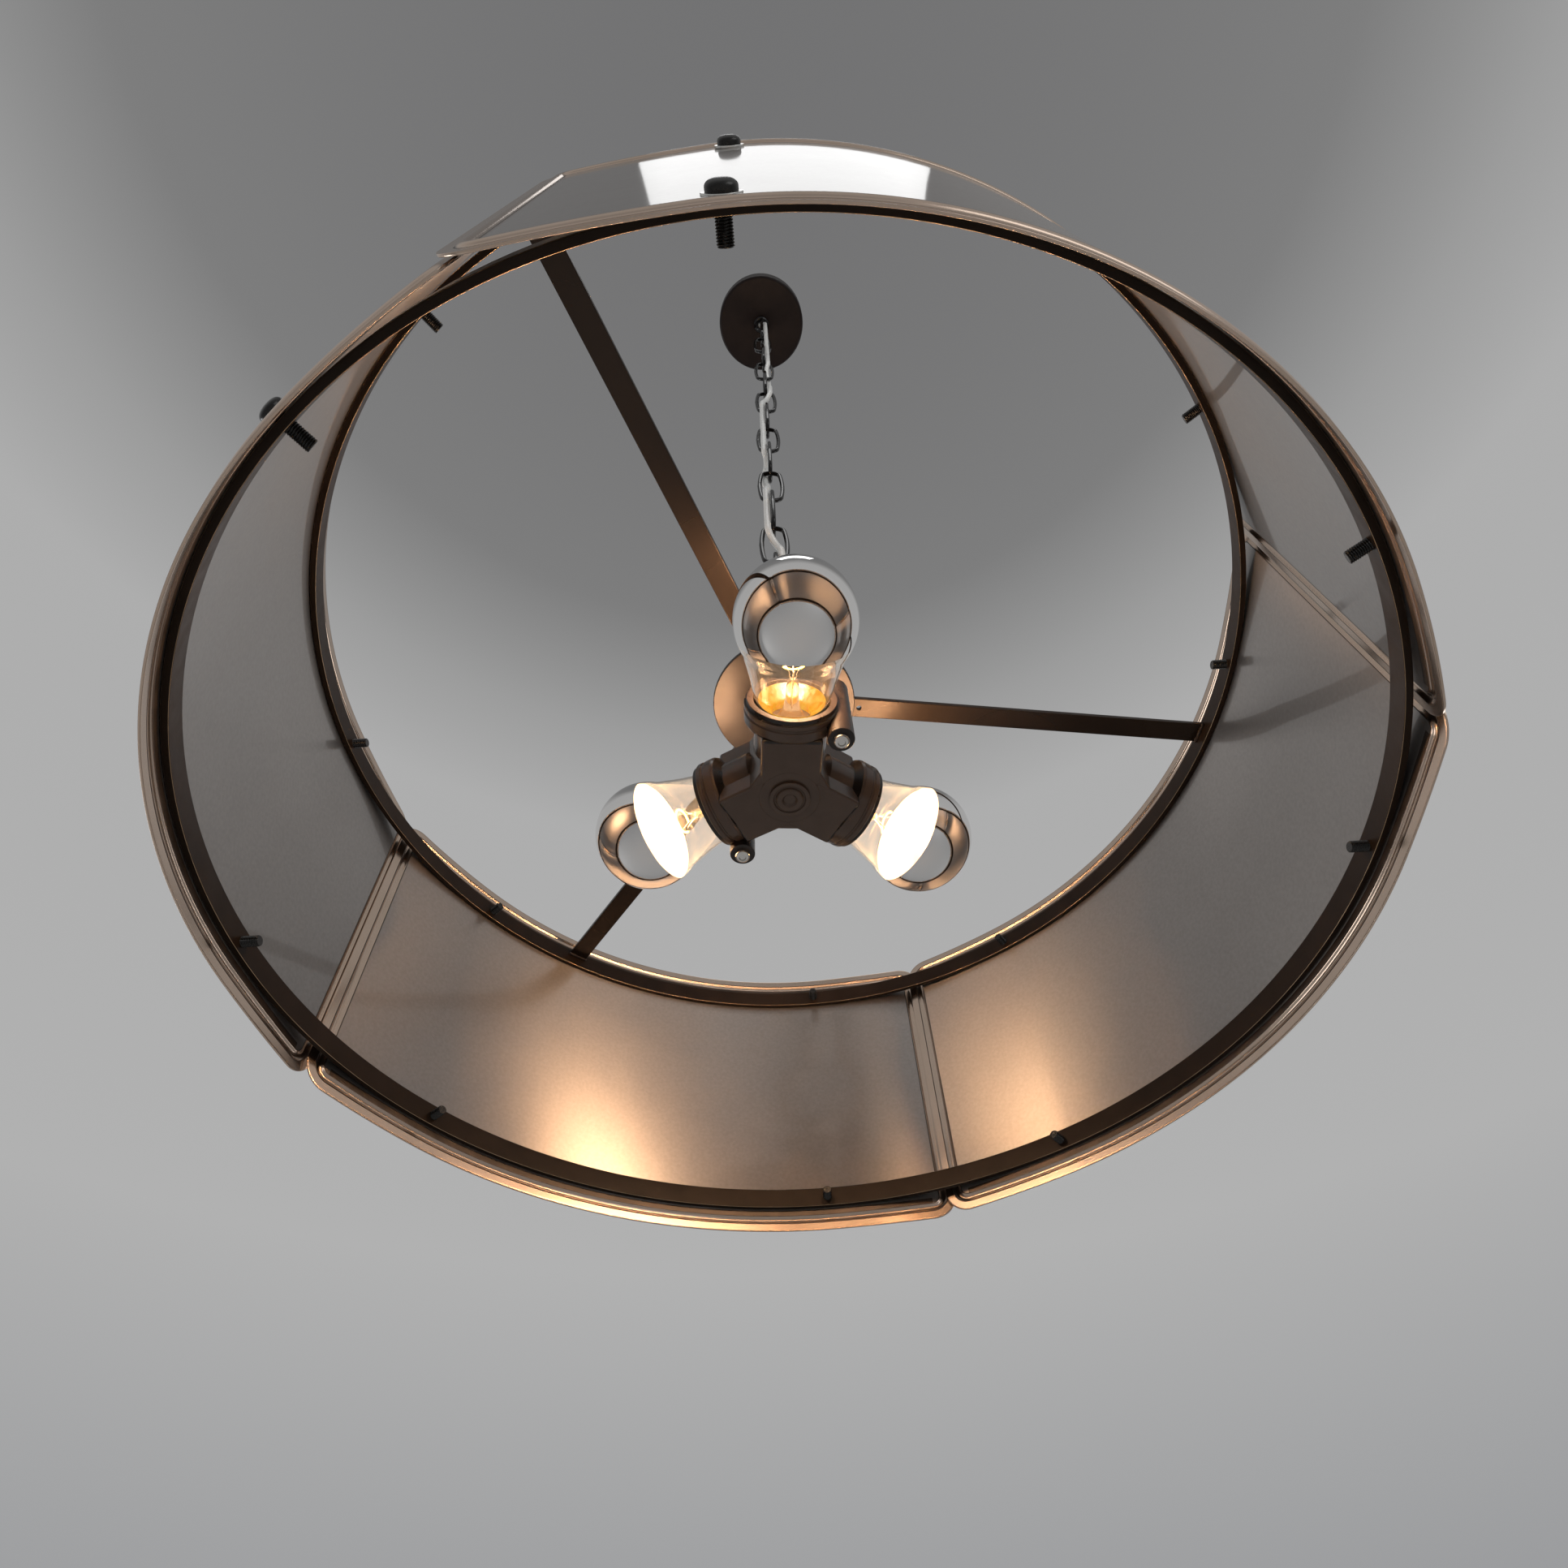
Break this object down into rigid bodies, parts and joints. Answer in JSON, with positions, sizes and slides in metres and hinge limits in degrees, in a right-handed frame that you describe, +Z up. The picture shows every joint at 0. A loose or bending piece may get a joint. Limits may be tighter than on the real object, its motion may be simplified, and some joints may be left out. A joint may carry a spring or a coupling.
{
  "type": "chain-hung drum pendant light",
  "caption": "Open drum pendant: curved beaded metal panels screwed to flat-bar rings, a moulded socket cluster with half-mirror bulbs, hung on a long-link chain with a cord from a round canopy.",
  "frame": {"origin": "centre of the ceiling mount, on the ceiling plane", "axes": "+Z up, away from the lamp; +X along the ceiling bracket; the picture looks along +Y and up"},
  "size_m": [0.5488, 0.5488, 1.2967],
  "materials": {
    "zinc_steel": "bright zinc plate",
    "dark_bronze": "dark bronze with a fine crinkle texture",
    "black_metal": "gloss black",
    "white_cord": "smooth pale cord sheath",
    "bronze_sheet": "satin warm bronze sheet with polished edges",
    "moulded_brown": "glossy dark-brown moulded phenolic",
    "brass": "bright brass",
    "bulb_glass": "clear glass with a silver mirror crown",
    "nickel": "nickel-plated cap"
  },
  "bodies": {
    "ceiling_mount": {"ceiling_bracket": "zinc_steel", "box_screw_1": "zinc_steel", "box_screw_2": "zinc_steel", "canopy": "dark_bronze", "canopy_nipple": "zinc_steel", "canopy_nut": "zinc_steel", "canopy_loop": "black_metal"},
    "top_link": {"top_link": "black_metal", "cord_at_canopy": "white_cord"},
    "chain": {"chain": "black_metal", "cord_in_chain": "white_cord"},
    "bottom_link": {"bottom_link": "black_metal", "cord_at_hub": "white_cord"},
    "shade": {"hub_loop": "black_metal", "hub_neck": "dark_bronze", "hub_disc": "dark_bronze", "hub_stem": "dark_bronze", "hub_nipple": "zinc_steel", "arm_1": "dark_bronze", "arm_2": "dark_bronze", "arm_3": "dark_bronze", "lower_ring": "dark_bronze", "upper_ring": "dark_bronze", "panel_1": "bronze_sheet", "panel_2": "bronze_sheet", "panel_3": "bronze_sheet", "panel_4": "bronze_sheet", "panel_screw_lower_1": "black_metal", "panel_screw_lower_2": "black_metal", "panel_screw_lower_3": "black_metal", "panel_screw_lower_4": "black_metal", "panel_screw_lower_5": "black_metal", "panel_screw_lower_6": "black_metal", "panel_screw_lower_7": "black_metal", "panel_screw_lower_8": "black_metal", "panel_screw_upper_1": "black_metal", "panel_screw_upper_2": "black_metal", "panel_screw_upper_3": "black_metal", "panel_screw_upper_4": "black_metal", "panel_screw_upper_5": "black_metal", "panel_screw_upper_6": "black_metal", "panel_screw_upper_7": "black_metal", "panel_screw_upper_8": "black_metal", "socket_cluster": "moulded_brown", "cluster_nut": "zinc_steel", "cluster_plug": "moulded_brown", "ear_screw_1": "zinc_steel", "ear_screw_2": "zinc_steel", "socket_shell_1": "brass", "socket_shell_2": "brass", "socket_shell_3": "brass"},
    "bulb_1_contact": {"bulb_1_tip": "brass"},
    "bulb_1": {"bulb_1_glass": "bulb_glass", "bulb_1_base": "nickel"},
    "bulb_2_contact": {"bulb_2_tip": "brass"},
    "bulb_2": {"bulb_2_glass": "bulb_glass", "bulb_2_base": "nickel"},
    "bulb_3_contact": {"bulb_3_tip": "brass"},
    "bulb_3": {"bulb_3_glass": "bulb_glass", "bulb_3_base": "nickel"}
  },
  "joints": [
    {"name": "canopy_loop_swing", "type": "hinge", "parent": "ceiling_mount", "child": "top_link", "pos_m": [0, 0, -0.0518], "axis": [1, 0, 0], "range_deg": [-20, 20], "deforming": ["cord_at_canopy"]},
    {"name": "top_link_swing", "type": "hinge", "parent": "top_link", "child": "chain", "pos_m": [0, 0, -0.1195], "axis": [0, 1, 0], "range_deg": [-20, 20], "deforming": ["cord_at_canopy"]},
    {"name": "bottom_link_swing", "type": "hinge", "parent": "chain", "child": "bottom_link", "pos_m": [0, 0, -0.9385], "axis": [0, 1, 0], "range_deg": [-20, 20], "deforming": ["cord_at_hub"]},
    {"name": "hub_loop_swing", "type": "hinge", "parent": "bottom_link", "child": "shade", "pos_m": [0, 0, -1.0062], "axis": [1, 0, 0], "range_deg": [-20, 20], "deforming": ["cord_at_hub"]},
    {"name": "bulb_1_slide", "type": "slide", "parent": "shade", "child": "bulb_1_contact", "axis": [0.0262, -0.9997, 0], "range_m": [0, 0.02]},
    {"name": "bulb_1_turn", "type": "hinge", "parent": "bulb_1_contact", "child": "bulb_1", "pos_m": [0.00032, -0.0123, -1.155], "axis": [0.0262, -0.9997, 0], "range_deg": [0, 1980]},
    {"name": "bulb_2_slide", "type": "slide", "parent": "shade", "child": "bulb_2_contact", "axis": [0.8526, 0.5225, 0], "range_m": [0, 0.02]},
    {"name": "bulb_2_turn", "type": "hinge", "parent": "bulb_2_contact", "child": "bulb_2", "pos_m": [0.01049, 0.00643, -1.155], "axis": [0.8526, 0.5225, 0], "range_deg": [0, 1980]},
    {"name": "bulb_3_slide", "type": "slide", "parent": "shade", "child": "bulb_3_contact", "axis": [-0.8788, 0.4772, 0], "range_m": [0, 0.02]},
    {"name": "bulb_3_turn", "type": "hinge", "parent": "bulb_3_contact", "child": "bulb_3", "pos_m": [-0.01081, 0.00587, -1.155], "axis": [-0.8788, 0.4772, 0], "range_deg": [0, 1980]}
  ],
  "couplings": [
    {"joint": "bulb_1_slide", "follows": "bulb_1_turn", "m_per_rad": 0.0005776},
    {"joint": "bulb_2_slide", "follows": "bulb_2_turn", "m_per_rad": 0.0005776},
    {"joint": "bulb_3_slide", "follows": "bulb_3_turn", "m_per_rad": 0.0005776}
  ]
}
